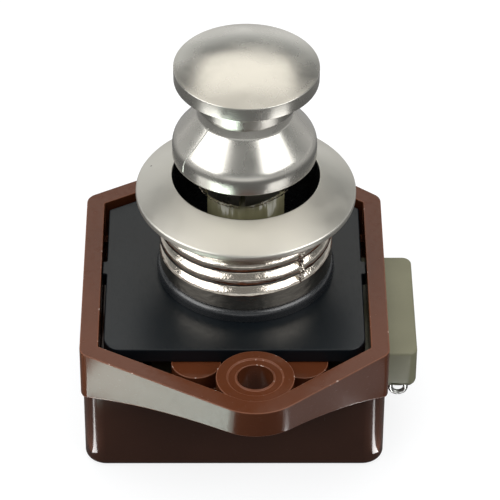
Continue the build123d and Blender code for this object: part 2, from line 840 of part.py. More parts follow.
with BuildPart() as return_spring:
    with BuildLine() as coil_path:
        for quarter in range(quarters):
            start, finish = coil_point(quarter), coil_point(quarter + 1)
            leave, arrive = coil_tangent(quarter), coil_tangent(quarter + 1)
            joint = biarc_joint(start, leave, finish, arrive)
            first = TangentArc(start, joint, tangent=leave)
            TangentArc(joint, finish, tangent=first % 1)
    with BuildSketch(Plane(origin=coil_point(0), z_dir=coil_tangent(0))):
        Circle(wire_radius)
    sweep(path=coil_path.wire())
    return_spring.part.label = "return_spring"
export_step(return_spring.part, "parts/return_spring.step")
coil_gap = min(
    (coil_point(a) - coil_point(b)).length - 2 * wire_radius
    for a in range(quarters)
    for b in range(a + 3, quarters + 1)
)
print("return spring, least gap between turns", round(coil_gap, 2))

# Bolt: a thick tongue outside, a slider with the plunger's window and the cam slot inside
cam_slope = (2 * arm_half_width - arm_tip_width) / (arm_top - plunger_bottom)
throw_share = bolt_throw / knob_travel
first_touch = plunger_bottom - bolt_top
drive_gain = (cam_slope - throw_share) * knob_travel
release_gain = (cam_slope - throw_share) * first_touch
tip_lead = cam_slope * (bolt_bottom - plunger_bottom)
drive_foot = arm_tip_width - arm_half_width + free_gap + tip_lead + drive_gain
release_foot = -arm_half_width - free_gap + tip_lead + release_gain
slot_rise = cam_slope * bolt_thickness
window_left = -plunger_radius - bolt_throw - wide_gap
window_right = plunger_radius + wide_gap
window_half = plunger_radius + wide_gap
tail_left = window_left - bolt_tail_wall
shoulder_x = inner_right - seat_gap - tongue_width - bolt_throw - free_gap
with BuildPart() as latch_bolt:
    with BuildSketch(Plane.XY.offset(bolt_bottom)):
        with BuildLine():
            Polyline(
                (tail_left, bolt_shoulder_front),
                (shoulder_x, bolt_shoulder_front),
                (shoulder_x, bolt_front),
                (bolt_tip, bolt_front),
                (bolt_tip, bolt_back),
                (tail_left, bolt_back),
                close=True,
            )
        make_face()
    extrude(amount=bolt_thickness)
    # Rounded end of the tongue
    end_edges = latch_bolt.faces().sort_by(Axis.X)[-1].edges()
    fillet(end_edges.filter_by(Axis.Z), radius=bolt_tip_radius)
    end_edges = latch_bolt.faces().sort_by(Axis.X)[-1].edges()
    fillet(end_edges.sort_by(Axis.Z)[0], radius=bolt_lower_radius)
    end_edges = latch_bolt.faces().sort_by(Axis.X)[-1].edges()
    fillet(end_edges.sort_by(Axis.Z)[-1], radius=bolt_upper_edge)
    # Window of the plunger and slanting slot of its cam arm
    with BuildSketch(Plane.XY.offset(bolt_bottom)):
        with Locations(((window_left + window_right) / 2, 0)):
            Rectangle(window_right - window_left, 2 * window_half)
    extrude(amount=bolt_thickness, mode=Mode.SUBTRACT)
    with BuildSketch(Plane.XZ.offset(window_half - overrun)):
        with BuildLine():
            Polyline(
                (release_foot, bolt_bottom),
                (drive_foot, bolt_bottom),
                (drive_foot + slot_rise, bolt_top),
                (release_foot + slot_rise, bolt_top),
                close=True,
            )
        make_face()
    extrude(amount=-arm_front + wide_gap - window_half + overrun, mode=Mode.SUBTRACT)
    # Sockets of the wire loop
    loop_y = bolt_front + loop_inset
    left_leg = loop_middle_x - loop_bend_radius
    right_leg = loop_middle_x + loop_bend_radius
    with BuildSketch(Plane.XY.offset(bolt_bottom)):
        with Locations((left_leg, loop_y), (right_leg, loop_y)):
            Circle(loop_wire_radius + seat_gap)
    extrude(amount=loop_leg, mode=Mode.SUBTRACT)
    latch_bolt.part.label = "latch_bolt"
export_step(latch_bolt.part, "parts/latch_bolt.step")

# Wire loop under the bolt's front edge
with BuildPart() as bolt_loop:
    with BuildLine() as loop_path:
        Line((left_leg, loop_y, bolt_bottom + loop_leg), (left_leg, loop_y, bolt_bottom))
        ThreePointArc(
            (left_leg, loop_y, bolt_bottom),
            (loop_middle_x, loop_y, bolt_bottom - loop_bend_radius),
            (right_leg, loop_y, bolt_bottom),
        )
        Line((right_leg, loop_y, bolt_bottom), (right_leg, loop_y, bolt_bottom + loop_leg))
    with BuildSketch(Plane(origin=(left_leg, loop_y, bolt_bottom + loop_leg), z_dir=(0, 0, -1))):
        Circle(loop_wire_radius)
    sweep(path=loop_path.wire())
    bolt_loop.part.label = "bolt_loop"
export_step(bolt_loop.part, "parts/bolt_loop.step")

# Pawl: an eye on the pin, a straight arm and a tip bent into the plunger's groove
tip_point = (pivot_tip_left, pawl_y, pawl_tip_height)
pivot_point = (pawl_middle_x, pawl_y, pawl_pivot_height)
with BuildPart() as pawl:
    with BuildLine() as pawl_path:
        bend = 2 * pawl_wire_radius
        FilletPolyline(
            pivot_point,
            tip_point,
            (pivot_tip_left, pawl_tip_y, pawl_tip_height),
            radius=bend,
        )
    arm_way = Vector(*tip_point) - Vector(*pivot_point)
    with BuildSketch(Plane(origin=pivot_point, z_dir=arm_way)):
        Circle(pawl_wire_radius)
    sweep(path=pawl_path.wire())
    with BuildSketch(Plane.XZ.offset(-pawl_y - pawl_eye_width / 2)):
        with Locations((pawl_middle_x, pawl_pivot_height)):
            Circle(pawl_eye_radius)
    extrude(amount=pawl_eye_width)
    with BuildSketch(Plane.XZ.offset(-pawl_y - pawl_eye_width / 2)):
        with Locations((pawl_middle_x, pawl_pivot_height)):
            Circle(pawl_pin_radius + running_gap)
    extrude(amount=pawl_eye_width, mode=Mode.SUBTRACT)
    pawl.part.label = "pawl"
export_step(pawl.part, "parts/pawl.step")

# Headed pin that the pawl swings on, pressed into the lower shell
with BuildPart() as pawl_pin:
    with BuildSketch(Plane.XZ.offset(-inner_back - pawl_pin_depth)):
        with Locations((pawl_middle_x, pawl_pivot_height)):
            Circle(pawl_pin_radius)
    extrude(amount=inner_back + pawl_pin_depth - pawl_y + pawl_eye_width / 2 + running_gap)
    with BuildSketch(Plane.XZ.offset(-pawl_y + pawl_eye_width / 2 + running_gap)):
        with Locations((pawl_middle_x, pawl_pivot_height)):
            Circle(pawl_pin_head_radius)
    extrude(amount=pawl_pin_head)
    pawl_pin.part.label = "pawl_pin"
export_step(pawl_pin.part, "parts/pawl_pin.step")

# Leaf spring that presses the pawl's tip into the groove
leaf_back = inner_back - seat_gap
leaf_touch_y = pawl_y + pawl_wire_radius + seat_gap + leaf_thickness / 2
with BuildPart() as pawl_spring:
    with BuildSketch(Plane.YZ.offset(pawl_middle_x - leaf_width / 2)):
        with BuildLine():
            foot_y = leaf_back - leaf_thickness / 2
            Polyline(
                (foot_y, leaf_foot_bottom),
                (foot_y, leaf_foot_top),
                (leaf_touch_y, leaf_touch_height),
                (leaf_touch_y + leaf_end_rise, leaf_end_height),
            )
        trace(line_width=leaf_thickness)
    extrude(amount=leaf_width)
    with BuildSketch(Plane.XZ.offset(-leaf_back)):
        with Locations((pawl_middle_x, leaf_peg_height)):
            Circle(leaf_peg_radius + running_gap)
    extrude(amount=2 * leaf_thickness, mode=Mode.SUBTRACT)
    pawl_spring.part.label = "pawl_spring"
export_step(pawl_spring.part, "parts/pawl_spring.step")
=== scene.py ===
# %% [markdown]
# # Push button cabinet lock
#
# This lesson dresses a small caravan lock for its product picture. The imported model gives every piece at
# its real size, in metres, with the origin where the knob's axis crosses the mounting face. Here each piece
# gets the surface that the real one has, and the pieces whose shape shows more than the plain solid can
# hold are made again: turned metal, the coarse thread, and mouldings with soft, scuffed edges.

import math

import bmesh
import bpy
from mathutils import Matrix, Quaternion, Vector, noise


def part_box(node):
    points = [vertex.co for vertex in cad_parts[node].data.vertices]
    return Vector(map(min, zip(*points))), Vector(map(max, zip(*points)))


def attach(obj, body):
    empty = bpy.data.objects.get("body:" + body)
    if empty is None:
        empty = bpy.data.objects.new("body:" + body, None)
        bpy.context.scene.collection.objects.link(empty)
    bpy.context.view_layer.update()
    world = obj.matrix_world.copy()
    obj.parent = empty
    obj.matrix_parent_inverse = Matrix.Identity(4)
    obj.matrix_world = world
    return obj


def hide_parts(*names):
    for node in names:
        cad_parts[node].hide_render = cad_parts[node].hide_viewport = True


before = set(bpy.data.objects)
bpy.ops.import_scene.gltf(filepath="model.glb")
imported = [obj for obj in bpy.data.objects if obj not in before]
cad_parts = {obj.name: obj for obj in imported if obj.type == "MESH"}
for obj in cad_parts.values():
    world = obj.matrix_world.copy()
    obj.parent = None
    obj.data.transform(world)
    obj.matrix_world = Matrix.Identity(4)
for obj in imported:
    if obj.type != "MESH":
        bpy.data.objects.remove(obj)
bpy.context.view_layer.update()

# %% [markdown]
# ## Units and small helpers
#
# All sizes below are written in millimetres, because that is how such a part is drawn, and one factor turns
# them into metres. Colours are written as sRGB hex codes, as a colour picker shows them, and one function
# turns them into the linear values that a shader needs.

# %% Units and colours
MM = 0.001


def linear(code):
    """An sRGB hex code such as #8a5a3c as linear red, green, blue and alpha."""
    shares = [int(code[start:start + 2], 16) / 255 for start in (1, 3, 5)]
    values = [s / 12.92 if s <= 0.04045 else ((s + 0.055) / 1.055) ** 2.4 for s in shares]
    return (*values, 1.0)


WHITE = linear("#ffffff")
print("white is", WHITE)

# %% [markdown]
# Materials, the world and the thread's node group are all trees of nodes. One function adds any of them. An
# input that is given a socket is linked to it, and one that is given a number or a colour keeps that.

# %% Nodes and objects
MATH = "ShaderNodeMath"
VECTOR_MATH = "ShaderNodeVectorMath"
MAP_RANGE = "ShaderNodeMapRange"
NOISE = "ShaderNodeTexNoise"
EASED = "SMOOTHSTEP"


def add(tree, kind, inputs=None, **settings):
    """Adds a node with its settings, and its inputs as plain values or as the sockets that feed them."""
    made = tree.nodes.new(kind)
    for name, setting in settings.items():
        setattr(made, name, setting)
    for name, given in (inputs or {}).items():
        if isinstance(given, bpy.types.NodeSocket):
            tree.links.new(given, made.inputs[name])
        else:
            made.inputs[name].default_value = given
    return made


def new_material(name, values):
    """A material whose shader has these plain values; returns the material, its tree and its shader."""
    made = bpy.data.materials.new(name)
    made.use_nodes = True
    tree = made.node_tree
    shader = tree.nodes["Principled BSDF"]
    for socket, value in values.items():
        shader.inputs[socket].default_value = value
    return made, tree, shader


def new_object(name, data):
    """An object in the scene, at the origin and unturned."""
    made = bpy.data.objects.new(name, data)
    bpy.context.scene.collection.objects.link(made)
    return made


print("helpers for nodes, materials and objects")

# %% [markdown]
# ## The camera
#
# The photograph was taken from in front and above with a long lens. Its place, turn and focal length were
# worked out from the straight edges and circles of the lock, so the render lies over the photograph. The
# focal length is in pixels of a picture 500 pixels wide, and the sensor's width turns it into millimetres.

# %% Camera
CAMERA_MM = Vector((-3.02, -340.17, 278.52))
TARGET_MM = Vector((0.624, 0.0, 1.876))
ROLL = math.radians(0.393)
PICTURE_PX = 500
FOCAL_PX = 3143.4
SENSOR_MM = 36.0
NEAREST_SEEN_MM = 10.0
FARTHEST_SEEN_MM = 20000.0

lens = bpy.data.cameras.new("camera")
lens.sensor_width = SENSOR_MM
lens.lens = FOCAL_PX / PICTURE_PX * SENSOR_MM
lens.clip_start = NEAREST_SEEN_MM * MM
lens.clip_end = FARTHEST_SEEN_MM * MM
camera = new_object("camera", lens)
aim = (TARGET_MM - CAMERA_MM).to_track_quat("-Z", "Y")
camera.rotation_mode = "QUATERNION"
camera.rotation_quaternion = aim @ Quaternion((0, 0, 1), ROLL)
camera.location = CAMERA_MM * MM
bpy.context.scene.camera = camera
bpy.context.scene.view_settings.view_transform = "Standard"
print("lens", round(lens.lens, 1), "mm")

# %% [markdown]
# ## The room that the metal mirrors
#
# Metal shows little of itself and much of the room. The picture's knob says that this room had a white
# horizon behind the lock, that it was dimmer towards the sides, and that it was grey above. The world gives
# that room to mirrors, a soft glow from the ceiling to matt surfaces, and plain white to the camera. A light
# path node tells the three apart.

# %% Mixing what each kind of ray sees


def seen_apart(tree, matt, mirrored, direct):
    """One shader out of three: for light that spreads, for mirrors and glass, and for the camera."""
    ray = add(tree, "ShaderNodeLightPath")
    shiny = add(tree, MATH, {0: ray.outputs["Is Glossy Ray"], 1: ray.outputs["Is Transmission Ray"]},
                operation="MAXIMUM")
    indirect = add(tree, "ShaderNodeMixShader", {0: shiny.outputs[0], 1: matt, 2: mirrored})
    whole = add(tree, "ShaderNodeMixShader",
                {0: ray.outputs["Is Camera Ray"], 1: indirect.outputs[0], 2: direct})
    return whole.outputs[0]


def fill_ramp(ramp, stops):
    """Gives a colour ramp its stops, each a place and a hex code."""
    first, last = ramp.elements
    for stop, (place, code) in zip((first, last), (stops[0], stops[-1])):
        stop.position, stop.color = place, linear(code)
    for place, code in stops[1:-1]:
        ramp.elements.new(place).color = linear(code)


print("three kinds of ray: matt, mirrored and direct")

# %% [markdown]
# The stops give the room's colour from the floor's level, 0.5, to straight above, 1. The room is white up to
# about 6 degrees above the horizon and has faded to grey at 26 degrees, which is what draws the bright bands
# on the knob's disc and cone.

# %% World
ROOM_STOPS = ((0.55, "#ffffff"), (0.575, "#f6f7f7"), (0.60, "#dfe2e2"), (0.63, "#c6c9c9"), (0.68, "#a3a6a6"),
              (0.72, "#868889"), (1.0, "#858481"))
CEILING_STOPS = ((0.5, "#101214"), (0.8, "#4c4c4c"), (0.95, "#ffffff"))
CEILING_GLOW = 1.5
SIDE_START, SIDE_END = 0.35, 0.6
SIDE_SHARE = 0.55

world = bpy.data.worlds.new("studio")
bpy.context.scene.world = world
world.use_nodes = True
tree = world.node_tree
tree.nodes.clear()
where = add(tree, "ShaderNodeTexCoord")
parts = add(tree, "ShaderNodeSeparateXYZ", {"Vector": where.outputs["Generated"]})
height = add(tree, MAP_RANGE, {"Value": parts.outputs["Z"], "From Min": -1.0, "From Max": 1.0})
sideways = add(tree, MATH, {0: parts.outputs["X"]}, operation="ABSOLUTE")
dimming = add(tree, MAP_RANGE, {"Value": sideways.outputs[0], "From Min": SIDE_START, "From Max": SIDE_END,
                                "To Min": 1.0, "To Max": SIDE_SHARE}, interpolation_type=EASED)
room_colour = add(tree, "ShaderNodeValToRGB", {"Fac": height.outputs["Result"]})
fill_ramp(room_colour.color_ramp, ROOM_STOPS)
room = add(tree, "ShaderNodeBackground", {"Color": room_colour.outputs["Color"],
                                          "Strength": dimming.outputs["Result"]})
ceiling_colour = add(tree, "ShaderNodeValToRGB", {"Fac": height.outputs["Result"]})
fill_ramp(ceiling_colour.color_ramp, CEILING_STOPS)
ceiling = add(tree, "ShaderNodeBackground", {"Color": ceiling_colour.outputs["Color"],
                                             "Strength": CEILING_GLOW})
backdrop = add(tree, "ShaderNodeBackground", {"Color": WHITE, "Strength": 1.0})
seen = seen_apart(tree, ceiling.outputs[0], room.outputs[0], backdrop.outputs[0])
add(tree, "ShaderNodeOutputWorld", {"Surface": seen})
print("ceiling glow", CEILING_GLOW)

# %% [markdown]
# ## The lamps
#
# Soft boxes are what a product photographer uses: large, even and close. Three make one long light overhead,
# which lies on the dome and the top faces. One stands at each side in front and draws the two bright lines
# down every round piece, and a weak one stands at the back left. The place of those three is an azimuth from
# the back, an elevation and a distance. They are there for the mirrors, so matt surfaces get only a small
# share of them.

# %% Soft boxes
RADIANCE_TO_POWER = 4


def soft_light(name, place, aim, width, depth, glow, colour="#ffffff", matt_share=1.0):
    """A rectangular light at a place, aimed at a point, both in mm; glow is its radiance, 1 for white."""
    data = bpy.data.lights.new(name, "AREA")
    data.shape = "RECTANGLE"
    data.size, data.size_y = width * MM, depth * MM
    data.energy = RADIANCE_TO_POWER * glow * data.size * data.size_y
    data.color = linear(colour)[:3]
    data.diffuse_factor = matt_share
    light = new_object(name, data)
    light.location = Vector(place) * MM
    light.rotation_mode = "QUATERNION"
    light.rotation_quaternion = (Vector(aim) - Vector(place)).to_track_quat("-Z", "Y")
    light.visible_camera = False
    return light


def around(azimuth, elevation, distance):
    """A place round the lock, with the azimuth counted from the back towards the right."""
    turn, rise = math.radians(azimuth), math.radians(elevation)
    return (math.sin(turn) * math.cos(rise) * distance, math.cos(turn) * math.cos(rise) * distance,
            math.sin(rise) * distance)


KNOB_MIDDLE = (0, 0, 25)
WARM_WHITE = "#fffbf3"
soft_light("overhead_light", (0, 570, 625), (0, 570, 0), 590, 660, 0.98, WARM_WHITE)
soft_light("overhead_gap_light", (0, 150, 625), (0, 150, 0), 860, 180, 0.42, WARM_WHITE)
soft_light("overhead_front_light", (0, -45, 625), (0, -45, 0), 860, 210, 0.84, WARM_WHITE)
soft_light("left_light", around(-113, 35, 600), KNOB_MIDDLE, 550, 380, 2.6, matt_share=0.13)
soft_light("right_light", around(121, 40, 600), KNOB_MIDDLE, 490, 330, 2.6, matt_share=0.15)
soft_light("back_left_light", around(-38, 23, 600), KNOB_MIDDLE, 340, 170, 0.42, matt_share=0.2)

# %% [markdown]
# The real lock stood on a polished table, and its upright faces look down into that table, where they see
# the lamps once more. A small light that lies just above the floor stands for each such image. It shines
# only steeply upwards, so that it shows in the faces that the camera sees and not along the case's walls
# from behind.

# %% Lamps mirrored in the table
GLINT_HEIGHT = -19.5
GLINT_SPREAD = math.radians(124)
GLINT_MATT_SHARE = 0.03
GREENISH_WHITE = "#ecfff5"


def table_glint(name, x, y, turn, width, depth, glow, colour="#ffffff"):
    """A lamp's image in the polished table, which the slanting fronts of the ear mirror."""
    glint = soft_light(name, (x, y, GLINT_HEIGHT), (x, y, 0), width, depth, glow, colour, GLINT_MATT_SHARE)
    glint.rotation_quaternion = Quaternion((0, 0, 1), math.radians(turn)) @ Quaternion((1, 0, 0), math.pi)
    glint.data.spread = GLINT_SPREAD
    return glint


glints = (
    table_glint("left_glint", -29, -37.5, -29.2, 24, 15, 8.0, GREENISH_WHITE),
    table_glint("left_glint_end", -16.6, -44.4, -29.2, 4, 15, 3.4, GREENISH_WHITE),
    table_glint("right_glint", 31.5, -33, 37.9, 24, 15, 0.55),
    table_glint("apex_glint", 22.5, -38, -24, 9, 2.4, 12.0),
    table_glint("left_corner_glint", -28.5, -22.7, 26, 15.5, 1.2, 12.0),
    table_glint("right_corner_glint", 23.2, -22.1, -34, 11.5, 1.2, 12.0),
    table_glint("left_far_glint", -57, -38, -56.3, 38, 34, 1.7),
    table_glint("right_far_glint", 54, -43, 51.5, 34, 34, 1.7),
)
print("table images", [glint.name for glint in glints])

# %% [markdown]
# ## The table
#
# The floor is one large plane under the case. To the camera it is white and still takes the lock's shadow.
# To matt surfaces it is grey, so that it doesn't light the case from below, and to mirrors it shows a
# painted
# reflection: a glow that is dim under the lock, as painted shade, and brighter further away, as the polished
# table was.

# %% Floor
FLOOR_GAP_MM = 0.02
FLOOR_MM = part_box("case_box")[0].z / MM - FLOOR_GAP_MM
FLOOR_REACH = 3.0
FLOOR_CORNERS = ((-1, -1), (1, -1), (1, 1), (-1, 1))

floor_mesh = bpy.data.meshes.new("floor")
floor_mesh.from_pydata([(x * FLOOR_REACH, y * FLOOR_REACH, FLOOR_MM * MM) for x, y in FLOOR_CORNERS], [],
                       [(0, 1, 2, 3)])
floor = new_object("floor", floor_mesh)
print("floor at", round(FLOOR_MM, 2), "mm")

# %% [markdown]
# The table's material is mixed from the same three shares as the world. The glow that mirrors see, a painted
# reflection, grows with the distance, in metres, from a point in front of the lock.

# %% Table
DIM_MIDDLE = Vector((-0.01, -0.14, FLOOR_MM * MM))
NEAR_RISE = {"From Min": 0.19, "From Max": 0.26, "To Min": 0.16, "To Max": 0.45}
FAR_RISE = {"From Min": 0.5, "From Max": 1.4, "To Min": 0.0, "To Max": 0.5}
TABLE_OWN_LIGHT = 0.8

table, tree, shader = new_material("Pale acrylic table", {"Base Color": linear("#77797b"), "Roughness": 0.6})
own_light = add(tree, "ShaderNodeEmission", {"Color": WHITE, "Strength": TABLE_OWN_LIGHT})
lit = add(tree, "ShaderNodeAddShader", {0: shader.outputs[0], 1: own_light.outputs[0]})
place = add(tree, "ShaderNodeTexCoord")
distance = add(tree, VECTOR_MATH, {0: place.outputs["Object"], 1: DIM_MIDDLE}, operation="DISTANCE")
near_glow = add(tree, MAP_RANGE, {"Value": distance.outputs["Value"], **NEAR_RISE}, interpolation_type=EASED)
far_glow = add(tree, MAP_RANGE, {"Value": distance.outputs["Value"], **FAR_RISE}, interpolation_type=EASED)
glow = add(tree, MATH, {0: near_glow.outputs["Result"], 1: far_glow.outputs["Result"]}, operation="ADD")
# The glow that mirrors see: a painted reflection of the table, dim near the lock as painted shade.
mirrored = add(tree, "ShaderNodeEmission", {"Color": WHITE, "Strength": glow.outputs[0]})
seen = seen_apart(tree, shader.outputs[0], mirrored.outputs[0], lit.outputs[0])
tree.links.new(seen, tree.nodes["Material Output"].inputs["Surface"])
floor_mesh.materials.append(table)
print("table", table.name)

# %% [markdown]
# ## Moulded plastic
#
# The housing is a glossy injection moulding, probably nylon or ABS, coloured right through. A mould leaves
# it smooth with a faint waviness, so its reflections wobble a little, and handling scratches it finely. The
# same function makes the black plate, the black bush and the olive grey bolt: only the colours, the gloss
# and the scratches differ. Edges can have chips, where broken plastic scatters light and looks pale.
# The scratches are drawn about ten times as wide as real ones, because finer ones wouldn't show.

# %% Plastic
DRIFT_MM = 7.0
RIPPLE_MM = 9.0
RIPPLE_DEPTH_MM = 0.15
RIPPLE_SHARE = 0.25
SCRATCH_DEPTH_MM = 0.01
SCRATCH_DULLING = 0.18
SCRATCH_NOISE = {"From Min": 0.45, "From Max": 0.75}
CHIP_NOISE = {"From Min": 0.66, "From Max": 0.7}
CHIP_COLOUR = "#c3aea3"
UPRIGHT_STREAKS = (1.0, 1.0, 7.0)
PLATE_STREAKS = (5.0, 0.5, 1.0)


def moulded_plastic(name, code, dark, roughness, shine=0.5, scratch_mm=0.5, scratch_share=0.25, chip_mm=0.0,
                    streaks=UPRIGHT_STREAKS):
    """Glossy moulded plastic: slow colour drift, mould ripple, fine scratches along one way, and chips."""
    made, tree, shader = new_material(name, {"Roughness": roughness, "Specular IOR Level": shine})
    place = add(tree, "ShaderNodeTexCoord").outputs["Object"]
    drift = add(tree, NOISE, {"Vector": place, "Scale": 1 / (DRIFT_MM * MM), "Detail": 4.0})
    tone = add(tree, "ShaderNodeMix", {"Factor": drift.outputs["Fac"], "A": linear(dark), "B": linear(code)},
               data_type="RGBA")
    if chip_mm:
        chips = add(tree, NOISE, {"Vector": place, "Scale": 1 / (chip_mm * MM), "Detail": 2.0})
        bare = add(tree, MAP_RANGE, {"Value": chips.outputs["Fac"], **CHIP_NOISE})
        tone = add(tree, "ShaderNodeMix", {"Factor": bare.outputs["Result"], "A": tone.outputs["Result"],
                                           "B": linear(CHIP_COLOUR)}, data_type="RGBA")
    tree.links.new(tone.outputs["Result"], shader.inputs["Base Color"])
    stretch = add(tree, "ShaderNodeMapping", {"Vector": place, "Scale": streaks})
    scratch = add(tree, NOISE, {"Vector": stretch.outputs["Vector"], "Scale": 1 / (scratch_mm * MM),
                                "Detail": 6.0})
    rough = add(tree, MAP_RANGE, {"Value": scratch.outputs["Fac"], **SCRATCH_NOISE, "To Min": roughness,
                                  "To Max": roughness + SCRATCH_DULLING})
    tree.links.new(rough.outputs["Result"], shader.inputs["Roughness"])
    ripple = add(tree, NOISE, {"Vector": place, "Scale": 1 / (RIPPLE_MM * MM), "Detail": 2.0})
    wave = add(tree, "ShaderNodeBump", {"Height": ripple.outputs["Fac"], "Strength": RIPPLE_SHARE,
                                        "Distance": RIPPLE_DEPTH_MM * MM})
    fine = add(tree, "ShaderNodeBump", {"Height": scratch.outputs["Fac"], "Normal": wave.outputs["Normal"],
                                        "Strength": scratch_share, "Distance": SCRATCH_DEPTH_MM * MM})
    tree.links.new(fine.outputs["Normal"], shader.inputs["Normal"])
    return made


print("plastic ripple", RIPPLE_MM, "mm")

# %% [markdown]
# Each plastic is matched to the picture under these lights. The lower shell is the same nylon as the upper
# one, but in the picture its upright walls mirror a dark room, so its colour is set darker as painted shade.

# %% The lock's plastics
# Reddish brown under a clear, weak mirror: the moulded skin of the upper shell.
brown = moulded_plastic("Glossy brown nylon", "#522b19", "#482411", 0.14, 0.27, scratch_mm=0.7,
                        scratch_share=0.7)
# Pale and matt, with light chips: the rubbed edge that outlines the brown rim.
brown_edge = moulded_plastic("Scuffed brown nylon edge", "#7a4c36", "#5a321f", 0.35, 0.3, scratch_share=0.6,
                             chip_mm=0.6)
# Nearly black brown, the upper shell's nylon darkened as painted shade, with thin bright corners: the lower
# shell.
painted_shade_brown = moulded_plastic("Glossy brown nylon darkened as painted shade", "#442a20", "#3b251c", 0.13, 0.3)
# A bluish black that mirrors the barrel only as two soft patches: the cover plate.
black = moulded_plastic("Black moulded ABS", "#0b1318", "#080c10", 0.3, 0.36, scratch_share=0.5,
                        streaks=PLATE_STREAKS)
# A tighter, brighter shine along the collar's round edge: a turned looking, slippery bush.
black_gloss = moulded_plastic("Polished black acetal", "#1f2225", "#16181b", 0.24, 0.9)
# A dull, milky olive grey: the bolt, which only has to slide.
olive = moulded_plastic("Olive grey nylon", "#7c7b65", "#666551", 0.3, 0.3)
# The same plastic, wet with grease inside the barrel, where it catches small sharp lights; its paler colour
# is painted light, making up for the shade inside the barrel.
greased_olive_painted_light = moulded_plastic("Greased olive nylon painted lighter", "#8f8b6c", "#6f6b50", 0.14, 0.6)
print("plastics", [m.name for m in (brown, brown_edge, painted_shade_brown, black, black_gloss, olive, greased_olive_painted_light)])

# %% [markdown]
# ## Plated metal
#
# The knob and the rosette are satin nickel: brushed or bead blasted before plating, so the highlights are
# wide and soft. The barrel and the split stem are bright nickel straight on the casting, so they mirror the
# room, with every pit of the casting. A metal's colour is its reflection, and nickel is slightly warm. Real
# blasting grain is about 0.05 mm, too fine for this picture, so it is drawn at 0.12 mm and kept shallow. The
# lumps of the bare castings are 0.3 mm.

# %% Nickel
PATCH_MM = 4.0
PATCH_NOISE = {"From Min": 0.3, "From Max": 0.7}
GRAIN_SHARE = 0.5
PIT_SPACING_MM = 2.6
PIT_CHANCE = 0.72
PIT_DEPTH_MM = 0.05
PIT_COLOUR = "#6f6a62"


def nickel(name, code, roughness, grain_mm, grain_depth_mm, blotch=0.06, pit_mm=0.0):
    """Plated metal: a mirror softened by its grain, with duller patches and a few casting pits of a size."""
    made, tree, shader = new_material(name, {"Base Color": linear(code), "Metallic": 1.0})
    place = add(tree, "ShaderNodeTexCoord").outputs["Object"]
    patch = add(tree, NOISE, {"Vector": place, "Scale": 1 / (PATCH_MM * MM), "Detail": 5.0})
    rough = add(tree, MAP_RANGE, {"Value": patch.outputs["Fac"], **PATCH_NOISE, "To Min": roughness - blotch,
                                  "To Max": roughness + blotch})
    tree.links.new(rough.outputs["Result"], shader.inputs["Roughness"])
    grain = add(tree, NOISE, {"Vector": place, "Scale": 1 / (grain_mm * MM), "Detail": 3.0})
    bump = add(tree, "ShaderNodeBump", {"Height": grain.outputs["Fac"], "Strength": GRAIN_SHARE,
                                        "Distance": grain_depth_mm * MM})
    normal = bump.outputs["Normal"]
    if pit_mm:
        cells = add(tree, "ShaderNodeTexVoronoi", {"Vector": place, "Scale": 1 / (PIT_SPACING_MM * MM)})
        chance = add(tree, "ShaderNodeSeparateColor", {"Color": cells.outputs["Color"]})
        near = add(tree, MATH, {0: cells.outputs["Distance"], 1: pit_mm / PIT_SPACING_MM},
                   operation="LESS_THAN")
        chosen = add(tree, MATH, {0: chance.outputs["Red"], 1: PIT_CHANCE}, operation="GREATER_THAN")
        pit = add(tree, MATH, {0: near.outputs[0], 1: chosen.outputs[0]}, operation="MULTIPLY").outputs[0]
        dent = add(tree, "ShaderNodeBump", {"Height": pit, "Normal": normal, "Strength": 1.0,
                                            "Distance": PIT_DEPTH_MM * MM}, invert=True)
        normal = dent.outputs["Normal"]
        stain = add(tree, "ShaderNodeMix", {"Factor": pit, "A": linear(code), "B": linear(PIT_COLOUR)},
                    data_type="RGBA")
        tree.links.new(stain.outputs["Result"], shader.inputs["Base Color"])
    tree.links.new(normal, shader.inputs["Normal"])
    return made


print("pits one in", round(1 / (1 - PIT_CHANCE), 1), "cells")

# %% [markdown]
# Each metal is matched to the picture too. Where the plating was filed it is paler and rougher, and where it
# is worn it is duller. The steel and brass pieces are nearly all hidden, so they get plain finishes.

# %% The lock's metals
# Soft wide highlights with a faint cloudiness: the hand touches this knob.
satin = nickel("Satin nickel plate", "#ccc9c1", 0.26, 0.12, 0.003)
# Softer still, with a few tiny pits where the casting was porous: the rosette.
satin_cast = nickel("Blasted satin nickel plate", "#d2cfc6", 0.38, 0.12, 0.003, pit_mm=0.16)
# Sharp, restless glints on a lumpy casting: the thread.
bright_plate = nickel("Bright nickel plate", "#d8cfc2", 0.17, 0.3, 0.05, 0.05)
# Whitish and matt, so the fin reads as a thin pale line.
filed_plate = nickel("Filed nickel", "#f4f2ec", 0.5, 0.3, 0.01)
# Duller than the thread, because it slides in the sleeve.
worn_plate = nickel("Worn nickel plate", "#bdb8ae", 0.3, 0.3, 0.02, 0.05)
# Neutral grey wire with an even shine.
steel = nickel("Drawn spring steel", "#b5b5b2", 0.25, 0.2, 0.004)
# Yellow and even: the knob's insert.
brass = nickel("Turned brass", "#c9a45c", 0.25, 0.2, 0.004)
print("metals", [m.name for m in (satin, satin_cast, bright_plate, filed_plate, worn_plate, steel, brass)])

# %% [markdown]
# ## Turned pieces
#
# A turned piece is one outline spun round the axis. The outline is a closed list of corners in radius and
# height, each with the radius of its rounding, and a short function turns every corner into a small arc, so
# that edges catch light as real ones do.

# %% Rounded outlines


